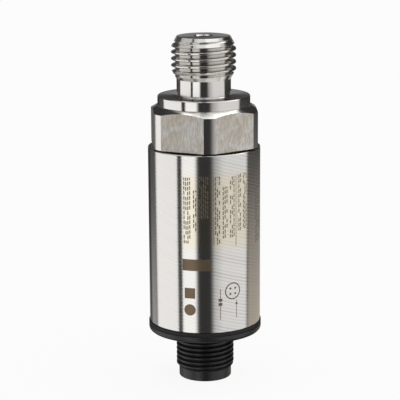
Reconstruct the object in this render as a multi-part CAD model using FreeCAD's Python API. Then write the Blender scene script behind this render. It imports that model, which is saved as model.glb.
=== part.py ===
import FreeCAD
import Part
import math
import os

# Electronic pressure switch, in millimetres, standing on its plug end with the port stud up.
# The turned axis is Z, and Z is zero at the end of the plug nose.

# Port stud with a flat sealing collar
port_thread_diameter = 13.157
stud_length = 12.0
stud_end_inset = 1.13
stud_end_taper = 2.1
thread_runout = 1.9
neck_diameter = 11.05
neck_length = 3.35
neck_fillet = 0.3
collar_diameter = 18.9
collar_height = 2.0
collar_chamfer = 0.15
port_bore_diameter = 3.5
port_bore_chamfer = 0.25

# Wrench hex with turned corners, and the relief groove below it
hex_wall = 1.45
hex_corner_rise = 1.0
hex_height = 8.15
hex_face_inset = 0.78
hex_chamfer_angle = 30.0
hex_turn = 5.4
shoulder_inset = 0.3
shoulder_height = 0.33

# Steel sleeve, welded to the skirt of the turned piece
sleeve_length = 36.75
sleeve_wall = 1.0
sleeve_edge_chamfer = 0.15
skirt_wall = 0.88
weld_clearance = 0.02

# Plastic connector: flange, gasket, threaded shroud and snap spigot
flange_overhang = 0.2
flange_thickness = 1.44
flange_fillet = 0.7
gasket_overhang = 0.2
gasket_thickness = 0.68
gasket_rounding = 0.15
gasket_clearance = 0.05
nose_wall = 1.15
nose_length = 2.05
nose_rounding = 0.15
connector_thread_height = 0.55
connector_thread_length = 7.25
undercut_depth = 0.65
undercut_length = 0.9
socket_diameter = 8.6
socket_chamfer = 0.3
key_width = 1.2
key_height = 0.5
key_recess = 0.8
spigot_clearance = 0.05
spigot_reach = 5.7
spigot_wall = 1.85
bead_height = 0.25
bead_length = 1.2
bead_offset = 2.3
groove_clearance = 0.05
finger_count = 4
finger_slot_width = 1.4
finger_root = 0.8

# Contact insert and its four pins on a circle
insert_clearance = 0.03
insert_seat_floor = 1.3
insert_plug_length = 2.5
insert_flange_width = 1.3
insert_flange_thickness = 1.5
contact_circle_diameter = 5.0
contact_diameter = 1.0
contact_tip_recess = 1.2
contact_tip_rounding = 0.35
contact_shoulder_width = 0.3
contact_shoulder_thickness = 0.4
tail_straight = 0.5
tail_shift_length = 1.1
tail_bend_radius = 1.2
tail_margin = 1.2
solder_film = 0.02

# Ceramic cell, its seal and what holds it in the pocket
cell_diameter = 18.0
cell_thickness = 6.0
cell_rim_width = 3.5
diaphragm_thickness = 0.8
cell_notch_radius = 0.8
cell_clearance = 0.05
cell_gap = 0.1
pocket_roof_thickness = 3.95
pocket_chamfer = 0.3
pocket_lip = 0.7
seal_inset = 1.7
seal_width = 2.1
seal_height = 1.35
seal_side_room = 0.2
thrust_ring_thickness = 1.6
thrust_ring_width = 2.8
thrust_ring_slot_room = 0.7
snap_ring_thickness = 1.0
snap_ring_width = 1.6
snap_groove_depth = 0.55
snap_ring_play = 0.05
snap_ring_gap_angle = 40.0
snap_ring_lug_radius = 1.3
snap_ring_lug_hole = 0.6

# Board carrier and circuit board
carrier_clearance = 0.1
carrier_ring_width = 1.9
carrier_ring_thickness = 1.5
rail_width = 4.4
rail_back = 1.45
rail_grip = 0.9
board_thickness = 1.6
board_end_play = 0.2
board_side_play = 0.05
board_tongue_width = 12.0
board_tongue_gap = 1.2

# Flexible print from the cell to the board
flex_width = 6.0
flex_thickness = 0.2
flex_cell_inset = 0.9
flex_cell_overlap = 1.9
flex_cell_bend = 0.6
flex_board_bend = 1.6
flex_drop = 3.4
flex_slope_length = 4.0
flex_board_overlap = 2.5

# Leaded chips on the board: width along X, height along Z, thickness off the board
chip_standoff = 0.1
lead_width = 0.3
lead_thickness = 0.15
lead_foot = 0.5
lead_reach = 1.0
signal_chip_width = 4.4
signal_chip_height = 5.0
signal_chip_thickness = 1.0
signal_chip_lead_count = 7
signal_chip_pitch = 0.65
controller_width = 5.3
controller_height = 7.0
controller_thickness = 1.6
controller_lead_count = 8
controller_pitch = 0.8

# Power packages: one regulator and two output transistors
power_width = 4.5
power_height = 2.5
power_thickness = 1.5
power_metal_reach = 0.9
power_metal_thickness = 0.4
power_tab_width = 1.7
power_lead_width = 0.45
power_lead_pitch = 1.5
power_lead_count = 3
transistor_count = 2
transistor_gap = 1.2

# Two-ended chip parts with metal end caps
end_cap_length = 0.4
end_cap_thickness = 0.04
diode_width = 3.4
diode_height = 4.4
diode_thickness = 2.2
diode_gap = 0.8
diode_count = 3
capacitor_width = 1.6
capacitor_height = 2.0
capacitor_thickness = 1.3
capacitor_row_count = 3
resistor_width = 0.8
resistor_height = 1.6
resistor_thickness = 0.45
resistor_row_count = 4
column_edge_room = 1.4

# Radii, worked out from the cell outwards and from the socket outwards
cell_radius = cell_diameter / 2
pocket_radius = cell_radius + cell_clearance
snap_groove_radius = pocket_radius + snap_groove_depth
weld_radius = snap_groove_radius + skirt_wall
sleeve_bore_radius = weld_radius + weld_clearance
sleeve_radius = sleeve_bore_radius + sleeve_wall
hex_flat_radius = pocket_radius + hex_wall
shoulder_radius = hex_flat_radius - shoulder_inset
hex_corner_radius = hex_flat_radius + hex_corner_rise
hex_face_radius = hex_flat_radius - hex_face_inset
collar_radius = collar_diameter / 2
neck_radius = neck_diameter / 2
port_thread_radius = port_thread_diameter / 2
port_bore_radius = port_bore_diameter / 2
flange_radius = sleeve_radius + flange_overhang
gasket_radius = sleeve_radius + gasket_overhang
spigot_radius = sleeve_bore_radius - spigot_clearance
spigot_bore_radius = spigot_radius - spigot_wall
bead_radius = spigot_radius + bead_height
socket_radius = socket_diameter / 2
nose_radius = socket_radius + nose_wall
connector_thread_radius = nose_radius + connector_thread_height
undercut_radius = connector_thread_radius - undercut_depth
insert_flange_radius = socket_radius + insert_flange_width
contact_radius = contact_diameter / 2
carrier_radius = sleeve_bore_radius - carrier_clearance
board_half_width = carrier_radius - rail_back - board_side_play
board_face = board_thickness / 2

# Heights, stacked from the plug nose up, and down again from the hex
connector_thread_end = nose_length + connector_thread_length
flange_bottom = connector_thread_end + undercut_length
flange_top = flange_bottom + flange_thickness
sleeve_bottom = flange_top + gasket_thickness
sleeve_top = sleeve_bottom + sleeve_length
hex_bottom = sleeve_top + shoulder_height
hex_top = hex_bottom + hex_height
collar_top = hex_top + collar_height
neck_top = collar_top + neck_length
stud_end = collar_top + stud_length
bead_middle = sleeve_bottom + bead_offset
spigot_top = sleeve_bottom + spigot_reach
insert_seat = flange_bottom + insert_seat_floor
insert_front = insert_seat - insert_plug_length
insert_back = insert_seat + insert_flange_thickness
pocket_roof = hex_top - pocket_roof_thickness
cell_top = pocket_roof - cell_gap
cell_bottom = cell_top - cell_thickness
thrust_bottom = cell_bottom - thrust_ring_thickness
snap_bottom = thrust_bottom - snap_ring_thickness
pocket_end = snap_bottom - pocket_lip
tail_start = insert_back + contact_shoulder_thickness
board_bottom = tail_start + board_tongue_gap
board_shoulder = spigot_top + carrier_ring_thickness
board_top = pocket_end - carrier_ring_thickness - board_end_play
flex_slope_top = cell_bottom - flex_drop
flex_slope_bottom = flex_slope_top - flex_slope_length
flex_end = flex_slope_bottom - flex_board_overlap

up = FreeCAD.Vector(0, 0, 1)
origin = FreeCAD.Vector(0, 0, 0)
overshoot = 1.0
length_tolerance = 1e-4


def turned(points):
    """Solid of revolution about Z from a closed outline of (radius, height) points."""
    corners = [FreeCAD.Vector(radius, 0, height) for radius, height in points]
    outline = Part.makePolygon(corners + corners[:1])
    return Part.Face(outline).revolve(origin, up, 360)


def cylinder(radius, bottom, top):
    return Part.makeCylinder(radius, top - bottom, FreeCAD.Vector(0, 0, bottom))


def ring(outer, inner, bottom, top):
    return cylinder(outer, bottom, top).cut(cylinder(inner, bottom - overshoot, top + overshoot))


def block(x, y, z):
    """Box between two values on each axis."""
    corner = FreeCAD.Vector(x[0], y[0], z[0])
    return Part.makeBox(x[1] - x[0], y[1] - y[0], z[1] - z[0], corner)


def both_ways(half):
    return (-half, half)


def prism(corners, height):
    """Upright solid on a closed flat outline."""
    return Part.Face(Part.makePolygon(corners + corners[:1])).extrude(up * height)


def round_edge(shape, radius, height, fillet):
    """Fillet the circular edges of one radius at one height."""
    edges = []
    for edge in shape.Edges:
        if not isinstance(edge.Curve, Part.Circle):
            continue
        same_radius = abs(edge.Curve.Radius - radius) < length_tolerance
        same_height = abs(edge.Curve.Center.z - height) < length_tolerance
        if same_radius and same_height:
            edges.append(edge)
    return shape.makeFillet(fillet, edges)


def bent_path(corners, radii):
    """Wire of straight runs through the corners, each inner corner rounded by its radius."""
    start = corners[0]
    edges = []
    for index, radius in enumerate(radii, start=1):
        back = (corners[index - 1] - corners[index]).normalize()
        ahead = (corners[index + 1] - corners[index]).normalize()
        half_angle = back.getAngle(ahead) / 2
        reach = radius / math.tan(half_angle)
        depth = radius / math.sin(half_angle) - radius
        first = corners[index] + back * reach
        middle = corners[index] + (back + ahead).normalize() * depth
        last = corners[index] + ahead * reach
        edges.append(Part.LineSegment(start, first).toShape())
        edges.append(Part.Arc(first, middle, last).toShape())
        start = last
    edges.append(Part.LineSegment(start, corners[-1]).toShape())
    return Part.Wire(edges)


def hex_waste():
    """What is milled off the turned blank to leave the six flats."""
    corner = hex_flat_radius / math.cos(math.radians(30))
    corners = []
    for index in range(6):
        angle = math.radians(-90 + hex_turn + 60 * index)
        corners.append(FreeCAD.Vector(corner * math.cos(angle), corner * math.sin(angle), hex_bottom))
    outside = cylinder(2 * hex_corner_radius, hex_bottom, hex_top)
    return outside.cut(prism(corners, hex_height))


def process_connection():
    """Stud, neck, collar, hex and cell pocket, turned and milled from one bar."""
    corner_drop = (hex_corner_radius - hex_face_radius) * math.tan(math.radians(hex_chamfer_angle))
    blank = turned([
        (0, pocket_end),
        (weld_radius, pocket_end),
        (weld_radius, sleeve_top),
        (shoulder_radius, sleeve_top),
        (shoulder_radius, hex_bottom),
        (hex_corner_radius, hex_bottom),
        (hex_corner_radius, hex_top - corner_drop),
        (hex_face_radius, hex_top),
        (collar_radius, hex_top),
        (collar_radius, collar_top - collar_chamfer),
        (collar_radius - collar_chamfer, collar_top),
        (neck_radius, collar_top),
        (neck_radius, neck_top),
        (port_thread_radius, neck_top + thread_runout),
        (port_thread_radius, stud_end - stud_end_taper),
        (port_thread_radius - stud_end_inset, stud_end),
        (0, stud_end),
    ])
    blank = round_edge(blank, neck_radius, collar_top, neck_fillet)
    void = turned([
        (0, pocket_end - overshoot),
        (pocket_radius + pocket_chamfer, pocket_end - overshoot),
        (pocket_radius + pocket_chamfer, pocket_end),
        (pocket_radius, pocket_end + pocket_chamfer),
        (pocket_radius, snap_bottom),
        (snap_groove_radius, snap_bottom),
        (snap_groove_radius, thrust_bottom),
        (pocket_radius, thrust_bottom),
        (pocket_radius, pocket_roof),
        (port_bore_radius, pocket_roof),
        (port_bore_radius, stud_end - port_bore_chamfer),
        (port_bore_radius + port_bore_chamfer, stud_end),
        (port_bore_radius + port_bore_chamfer, stud_end + overshoot),
        (0, stud_end + overshoot),
    ])
    seal_outer = cell_radius - seal_inset
    seal_groove = ring(
        seal_outer + seal_side_room,
        seal_outer - seal_width - seal_side_room,
        pocket_roof - overshoot,
        cell_top + seal_height,
    )
    return blank.cut(hex_waste()).cut(void).cut(seal_groove)


def housing_sleeve():
    """Tube with broken edges and an inner groove for the connector's snap bead."""
    groove_radius = bead_radius + groove_clearance
    half_groove = bead_length / 2 + groove_clearance
    return turned([
        (sleeve_bore_radius, sleeve_bottom),
        (sleeve_radius - sleeve_edge_chamfer, sleeve_bottom),
        (sleeve_radius, sleeve_bottom + sleeve_edge_chamfer),
        (sleeve_radius, sleeve_top - sleeve_edge_chamfer),
        (sleeve_radius - sleeve_edge_chamfer, sleeve_top),
        (sleeve_bore_radius, sleeve_top),
        (sleeve_bore_radius, bead_middle + half_groove),
        (groove_radius, bead_middle + half_groove - (groove_radius - sleeve_bore_radius)),
        (groove_radius, bead_middle - half_groove),
        (sleeve_bore_radius, bead_middle - half_groove),
    ])


def flange_gasket():
    gasket = ring(gasket_radius, spigot_radius + gasket_clearance, flange_top, sleeve_bottom)
    gasket = round_edge(gasket, gasket_radius, flange_top, gasket_rounding)
    return round_edge(gasket, gasket_radius, sleeve_bottom, gasket_rounding)


def connector_body():
    """Flange, threaded shroud with its coding key, and a spigot split into snap fingers."""
    seat_radius = insert_flange_radius + insert_clearance
    half_bead = bead_length / 2
    body = turned([
        (socket_radius + socket_chamfer, 0),
        (nose_radius, 0),
        (nose_radius, nose_length),
        (connector_thread_radius, nose_length + connector_thread_height),
        (connector_thread_radius, connector_thread_end),
        (undercut_radius, connector_thread_end),
        (undercut_radius, flange_bottom),
        (flange_radius, flange_bottom),
        (flange_radius, flange_top),
        (spigot_radius, flange_top),
        (spigot_radius, bead_middle - half_bead),
        (bead_radius, bead_middle - half_bead),
        (bead_radius, bead_middle + half_bead - bead_height),
        (spigot_radius, bead_middle + half_bead),
        (spigot_radius, spigot_top),
        (spigot_bore_radius, spigot_top),
        (spigot_bore_radius, insert_back),
        (seat_radius, insert_back),
        (seat_radius, insert_seat),
        (socket_radius, insert_seat),
        (socket_radius, socket_chamfer),
    ])
    body = round_edge(body, nose_radius, 0, nose_rounding)
    body = round_edge(body, flange_radius, flange_bottom, flange_fillet)
    key_span = (socket_radius - key_height, socket_radius + nose_wall / 2)
    body = body.fuse(block(both_ways(key_width / 2), key_span, (key_recess, insert_front)))
    slot_heights = (insert_back + finger_root, spigot_top + overshoot)
    for index in range(finger_count):
        slot = block((0, bead_radius + overshoot), both_ways(finger_slot_width / 2), slot_heights)
        slot.rotate(origin, up, 360 / finger_count * (index + 0.5))
        body = body.cut(slot)
    return body.removeSplitter()


def contact_places():
    """X and Y of the four contacts, in order round their circle."""
    reach = contact_circle_diameter / 2 * math.sqrt(0.5)
    return [(reach, reach), (-reach, reach), (-reach, -reach), (reach, -reach)]


def contact_insert():
    """Stepped disc that plugs the socket from behind and holds the contacts."""
    insert = cylinder(socket_radius - insert_clearance, insert_front, insert_seat)
    insert = insert.fuse(cylinder(insert_flange_radius, insert_seat, insert_back))
    for x, y in contact_places():
        hole = cylinder(contact_radius, insert_front - overshoot, insert_back + overshoot)
        hole.translate(FreeCAD.Vector(x, y, 0))
        insert = insert.cut(hole)
    return insert.removeSplitter()


def contact_pin(x, y):
    """Round-nosed pin with a shoulder, its tail bent in to lie on the board."""
    tail_y = math.copysign(board_face + solder_film + contact_radius, y)
    bend_start = tail_start + tail_straight
    tip = FreeCAD.Vector(x, y, contact_tip_recess)
    path = bent_path(
        [
            tip,
            FreeCAD.Vector(x, y, bend_start),
            FreeCAD.Vector(x, tail_y, bend_start + tail_shift_length),
            FreeCAD.Vector(x, tail_y, board_shoulder - tail_margin),
        ],
        [tail_bend_radius, tail_bend_radius],
    )
    section = Part.Face(Part.Wire(Part.makeCircle(contact_radius, tip, up)))
    pin = path.makePipe(section)
    pin = round_edge(pin, contact_radius, contact_tip_recess, contact_tip_rounding)
    shoulder = cylinder(contact_radius + contact_shoulder_width, insert_back, tail_start)
    shoulder.translate(FreeCAD.Vector(x, y, 0))
    return pin.fuse(shoulder).removeSplitter()


def pressure_cell():
    """Ceramic cup: thin diaphragm on the pressure side, cavity and locating notch behind."""
    cavity_top = cell_top - diaphragm_thickness
    cell = cylinder(cell_radius, cell_bottom, cell_top)
    cell = cell.cut(cylinder(cell_radius - cell_rim_width, cell_bottom - overshoot, cavity_top))
    notch = cylinder(cell_notch_radius, cell_bottom - overshoot, cavity_top)
    notch.translate(FreeCAD.Vector(0, -cell_radius, 0))
    return cell.cut(notch)


def cell_seal():
    """O-ring squeezed between the groove floor and the cell, with its sides bulged out."""
    outer = cell_radius - seal_inset
    inner = outer - seal_width
    top = cell_top + seal_height
    bulge = seal_height / 2
    middle = cell_top + bulge
    inner_low = FreeCAD.Vector(inner + bulge, 0, cell_top)
    outer_low = FreeCAD.Vector(outer - bulge, 0, cell_top)
    outer_high = FreeCAD.Vector(outer - bulge, 0, top)
    inner_high = FreeCAD.Vector(inner + bulge, 0, top)
    outline = Part.Wire([
        Part.LineSegment(inner_low, outer_low).toShape(),
        Part.Arc(outer_low, FreeCAD.Vector(outer, 0, middle), outer_high).toShape(),
        Part.LineSegment(outer_high, inner_high).toShape(),
        Part.Arc(inner_high, FreeCAD.Vector(inner, 0, middle), inner_low).toShape(),
    ])
    return Part.Face(outline).revolve(origin, up, 360)


def thrust_ring():
    """Ring behind the cell with a slot on the +Y side for the flexible print."""
    body = ring(cell_radius, cell_radius - thrust_ring_width, thrust_bottom, cell_bottom)
    slot = block(
        both_ways(flex_width / 2 + thrust_ring_slot_room),
        (0, cell_radius + overshoot),
        (thrust_bottom - overshoot, cell_bottom + overshoot),
    )
    return body.cut(slot)


def snap_ring():
    """Internal retaining ring, open on the -Y side, with a drilled lug at each end."""
    outer = snap_groove_radius - snap_ring_play
    inner = outer - snap_ring_width
    bottom = snap_bottom + snap_ring_play
    body = ring(outer, inner, bottom, thrust_bottom)
    half_gap = math.radians(snap_ring_gap_angle / 2)
    reach = (outer + overshoot) / math.cos(half_gap)
    below = bottom - overshoot
    gap_x = reach * math.sin(half_gap)
    gap_y = -reach * math.cos(half_gap)
    gap_corners = [
        FreeCAD.Vector(0, 0, below),
        FreeCAD.Vector(-gap_x, gap_y, below),
        FreeCAD.Vector(gap_x, gap_y, below),
    ]
    body = body.cut(prism(gap_corners, snap_ring_thickness + 2 * overshoot))
    lug_place = outer - snap_ring_width / 2 - snap_ring_lug_radius / 2
    lug_angle = half_gap + snap_ring_lug_radius / lug_place
    for side in (-1, 1):
        centre = FreeCAD.Vector(side * math.sin(lug_angle), -math.cos(lug_angle), 0) * lug_place
        lug = cylinder(snap_ring_lug_radius, bottom, thrust_bottom)
        hole = cylinder(snap_ring_lug_hole, bottom - overshoot, thrust_bottom + overshoot)
        lug.translate(centre)
        hole.translate(centre)
        lug = lug.common(cylinder(outer, bottom, thrust_bottom))
        body = body.fuse(lug).cut(hole)
    return body.removeSplitter()


def board_carrier():
    """Two rings joined by two grooved rails that grip the board's long edges."""
    inner = carrier_radius - carrier_ring_width
    upper_ring_bottom = pocket_end - carrier_ring_thickness
    frame = ring(carrier_radius, inner, spigot_top, board_shoulder)
    frame = frame.fuse(ring(carrier_radius, inner, upper_ring_bottom, pocket_end))
    hoop = cylinder(carrier_radius, spigot_top, pocket_end)
    for side in (-1, 1):
        span = sorted((side * (board_half_width - rail_grip), side * carrier_radius))
        rail = block(span, both_ways(rail_width / 2), (board_shoulder, pocket_end))
        frame = frame.fuse(rail.common(hoop))
    slot = block(
        both_ways(board_half_width + board_side_play),
        both_ways(board_face + board_side_play),
        (board_shoulder, upper_ring_bottom),
    )
    return frame.cut(slot).removeSplitter()


def circuit_board():
    """Board with a narrow tongue at the bottom that lies between the contact tails."""
    faces = both_ways(board_face)
    board = block(both_ways(board_half_width), faces, (board_shoulder, board_top))
    tongue = block(both_ways(board_tongue_width / 2), faces, (board_bottom, board_shoulder))
    return board.fuse(tongue).removeSplitter()


def cell_flex():
    """Thin strip from the back of the cell, through the thrust ring, to the board's +Y face."""
    half = flex_thickness / 2
    cell_level = cell_bottom - half
    board_level = board_face + half
    start = cell_radius - flex_cell_inset
    turn = start - flex_cell_overlap
    path = bent_path(
        [
            FreeCAD.Vector(0, start, cell_level),
            FreeCAD.Vector(0, turn, cell_level),
            FreeCAD.Vector(0, turn, flex_slope_top),
            FreeCAD.Vector(0, board_level, flex_slope_bottom),
            FreeCAD.Vector(0, board_level, flex_end),
        ],
        [flex_cell_bend, flex_board_bend, flex_board_bend],
    )
    edge = flex_width / 2
    corners = [
        FreeCAD.Vector(-edge, start, cell_level - half),
        FreeCAD.Vector(edge, start, cell_level - half),
        FreeCAD.Vector(edge, start, cell_level + half),
        FreeCAD.Vector(-edge, start, cell_level + half),
    ]
    return path.makePipe(Part.Face(Part.makePolygon(corners + corners[:1])))


def spread(low, high, heights):
    """Middles of parts stacked between two levels with even gaps."""
    gap = (high - low - sum(heights)) / (len(heights) + 1)
    middles = []
    level = low
    for height in heights:
        middles.append(level + gap + height / 2)
        level += gap + height
    return middles


def centred(count, spacing):
    """Places along X of a row of parts about the middle."""
    return [(index - (count - 1) / 2) * spacing for index in range(count)]


def on_board(side, x, z, width, height, thickness, lift=0.0):
    """Box standing on one face of the board, its middle at X and Z."""
    near = side * (board_face + lift)
    far = side * (board_face + lift + thickness)
    return block((x - width / 2, x + width / 2), sorted((near, far)), (z - height / 2, z + height / 2))


def leaded_chip(side, z, width, height, thickness, lead_count, pitch):
    """Chip body with a row of gull-wing leads along each long side."""
    body = on_board(side, 0, z, width, height, thickness, chip_standoff)
    knee = chip_standoff + thickness / 2
    for direction in (-1, 1):
        inner = direction * (width / 2 - lead_thickness)
        bend = direction * (width / 2 + lead_reach - lead_foot)
        tip = direction * (width / 2 + lead_reach)
        near_bend = bend - direction * lead_thickness
        outline = [
            (inner, knee),
            (bend, knee),
            (bend, lead_thickness),
            (tip, lead_thickness),
            (tip, 0),
            (near_bend, 0),
            (near_bend, knee - lead_thickness),
            (inner, knee - lead_thickness),
        ]
        for offset in centred(lead_count, pitch):
            low = z + offset - lead_width / 2
            corners = [FreeCAD.Vector(x, side * (board_face + rise), low) for x, rise in outline]
            body = body.fuse(prism(corners, lead_width))
    return body.removeSplitter()


def power_package(side, x, z):
    """Moulded power package with a cooling tab above and three leads below."""
    shape = on_board(side, x, z, power_width, power_height, power_thickness)
    metal_offset = (power_height + power_metal_reach) / 2
    metal = (power_metal_reach, power_metal_thickness)
    shape = shape.fuse(on_board(side, x, z + metal_offset, power_tab_width, *metal))
    for offset in centred(power_lead_count, power_lead_pitch):
        shape = shape.fuse(on_board(side, x + offset, z - metal_offset, power_lead_width, *metal))
    return shape.removeSplitter()


def chip_part(side, x, z, width, height, thickness):
    """Two-ended chip part with metal caps a little proud of its body."""
    shape = on_board(side, x, z, width, height, thickness)
    cap_offset = (height - end_cap_length) / 2
    cap_width = width + 2 * end_cap_thickness
    cap_rise = thickness + end_cap_thickness
    for direction in (-1, 1):
        place = z + direction * cap_offset
        shape = shape.fuse(on_board(side, x, place, cap_width, end_cap_length, cap_rise))
    return shape.removeSplitter()


def back_parts():
    """Output stage, controller and surge protection on the -Y face."""
    power_span = power_height + 2 * power_metal_reach
    rows = spread(board_shoulder, board_top, [power_span, controller_height, diode_height])
    transistor_row = centred(transistor_count, power_width + transistor_gap)
    diode_row = centred(diode_count, diode_width + diode_gap)
    transistors = [power_package(-1, x, rows[0]) for x in transistor_row]
    diodes = [chip_part(-1, x, rows[2], diode_width, diode_height, diode_thickness) for x in diode_row]
    controller = leaded_chip(
        -1, rows[1], controller_width, controller_height, controller_thickness,
        controller_lead_count, controller_pitch,
    )
    return {
        "output_transistors": Part.makeCompound(transistors),
        "controller_chip": controller,
        "surge_diodes": Part.makeCompound(diodes),
    }


def front_parts():
    """Regulator and signal chip in the middle of the +Y face, small parts beside the rails."""
    power_span = power_height + 2 * power_metal_reach
    rows = spread(board_shoulder, flex_end, [power_span, signal_chip_height])
    signal_chip = leaded_chip(
        1, rows[1], signal_chip_width, signal_chip_height, signal_chip_thickness,
        signal_chip_lead_count, signal_chip_pitch,
    )
    small_heights = [capacitor_height] * capacitor_row_count + [resistor_height] * resistor_row_count
    small_rows = spread(board_shoulder, board_top, small_heights)
    column = board_half_width - rail_grip - column_edge_room
    capacitors = []
    resistors = []
    for x in both_ways(column):
        for z in small_rows[:capacitor_row_count]:
            capacitors.append(chip_part(1, x, z, capacitor_width, capacitor_height, capacitor_thickness))
        for z in small_rows[capacitor_row_count:]:
            resistors.append(chip_part(1, x, z, resistor_width, resistor_height, resistor_thickness))
    return {
        "voltage_regulator": power_package(1, 0, rows[0]),
        "signal_chip": signal_chip,
        "board_capacitors": Part.makeCompound(capacitors),
        "board_resistors": Part.makeCompound(resistors),
    }


def all_pieces():
    pieces = {
        "process_connection": process_connection(),
        "housing_sleeve": housing_sleeve(),
        "flange_gasket": flange_gasket(),
        "connector_body": connector_body(),
        "contact_insert": contact_insert(),
        "pressure_cell": pressure_cell(),
        "cell_seal": cell_seal(),
        "thrust_ring": thrust_ring(),
        "snap_ring": snap_ring(),
        "cell_flex": cell_flex(),
        "board_carrier": board_carrier(),
        "circuit_board": circuit_board(),
    }
    pieces.update(back_parts())
    pieces.update(front_parts())
    for number, (x, y) in enumerate(contact_places(), start=1):
        pieces[f"contact_pin_{number}"] = contact_pin(x, y)
    return pieces


os.makedirs("parts", exist_ok=True)
for name, shape in all_pieces().items():
    shape.exportStep(f"parts/{name}.step")
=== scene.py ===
import math

import bmesh
import bpy
from bpy.props import FloatProperty, FloatVectorProperty, IntProperty, PointerProperty
from mathutils import Matrix, Vector


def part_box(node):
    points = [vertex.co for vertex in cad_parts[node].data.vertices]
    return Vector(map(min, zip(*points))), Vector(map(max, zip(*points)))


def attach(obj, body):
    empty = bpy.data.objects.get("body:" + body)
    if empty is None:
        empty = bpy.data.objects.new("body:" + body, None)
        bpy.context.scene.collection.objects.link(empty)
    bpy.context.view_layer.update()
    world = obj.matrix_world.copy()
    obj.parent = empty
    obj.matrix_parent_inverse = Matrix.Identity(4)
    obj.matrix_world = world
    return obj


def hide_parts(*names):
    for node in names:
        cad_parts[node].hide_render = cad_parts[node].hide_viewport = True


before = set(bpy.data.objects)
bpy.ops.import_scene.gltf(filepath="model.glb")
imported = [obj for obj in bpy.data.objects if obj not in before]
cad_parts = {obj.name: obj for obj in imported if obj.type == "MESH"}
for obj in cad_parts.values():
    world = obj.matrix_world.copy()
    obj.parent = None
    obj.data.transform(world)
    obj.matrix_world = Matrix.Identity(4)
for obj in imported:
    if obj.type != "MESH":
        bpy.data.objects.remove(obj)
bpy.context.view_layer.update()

bl_info = {
    "name": "Electronic pressure switch",
    "version": (1, 0, 0),
    "blender": (4, 5, 0),
    "location": "View3D > Sidebar > Pressure switch",
    "description": "Builds a slim steel pressure switch with a port stud and a round plug",
    "category": "Object",
}

MM = 0.001
FULL_TURN = 2 * math.pi
BODY = "root"

# Levels and radii that the solids already fix, in metres
stud_low, stud_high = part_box("process_connection")
sleeve_low, sleeve_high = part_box("housing_sleeve")
gasket_low, gasket_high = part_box("flange_gasket")
connector_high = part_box("connector_body")[1]
insert_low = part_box("contact_insert")[0]

# Columns of faces round each turned piece, and spacing of points where a thread is cut
CORNER_COLUMNS = 8
FLAT_COLUMNS = 32
SLEEVE_COLUMNS = 288
GASKET_COLUMNS = 224
CONNECTOR_COLUMNS = 208
PORT_THREAD_STEP = 0.058 * MM
PLUG_THREAD_STEP = 0.055 * MM

# Small roundings of edges, and the angles from which an edge is shaded sharp
EDGE_EASE = 0.05 * MM
STUD_EASE = 0.06 * MM
PLUG_EASE = 0.06 * MM
UNDERCUT_EASE = 0.12 * MM
FLANGE_EASE = 0.16 * MM
STUD_SHARP = math.radians(20)
SHARP = math.radians(30)

# Flat shares of the crest and root, and rounding between them and the flanks
PORT_THREAD_FORM = {"Crest Share": 0.25, "Root Share": 0.13, "Rounding": 0.2}
PLUG_THREAD_FORM = {"Crest Share": 0.36, "Root Share": 0.12, "Rounding": 0.18}

# Bodies of the board's parts between their tinned ends, in millimetres
CHIP_BODIES = {"signal_chip": 4.4, "controller_chip": 5.3}
PACKAGE_HALF_BODY = 1.25
END_CAP = 0.4


def length(name, description, millimetres):
    """A size in metres that a user can change."""
    return FloatProperty(
        name=name, description=description, default=millimetres * MM, unit="LENGTH", precision=6
    )


def angle(name, description, degrees):
    return FloatProperty(
        name=name, description=description, default=math.radians(degrees), subtype="ANGLE"
    )


def factor(name, description, value):
    return FloatProperty(name=name, description=description, default=value, subtype="FACTOR")


def colour(name, description, value):
    return FloatVectorProperty(
        name=name, description=description, default=value, subtype="COLOR", size=3, min=0, max=1
    )


def level(name, description, value):
    """A brightness, as a multiple of white."""
    return FloatProperty(
        name=name, description=description, default=value, min=0, soft_max=2, subtype="FACTOR"
    )


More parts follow.
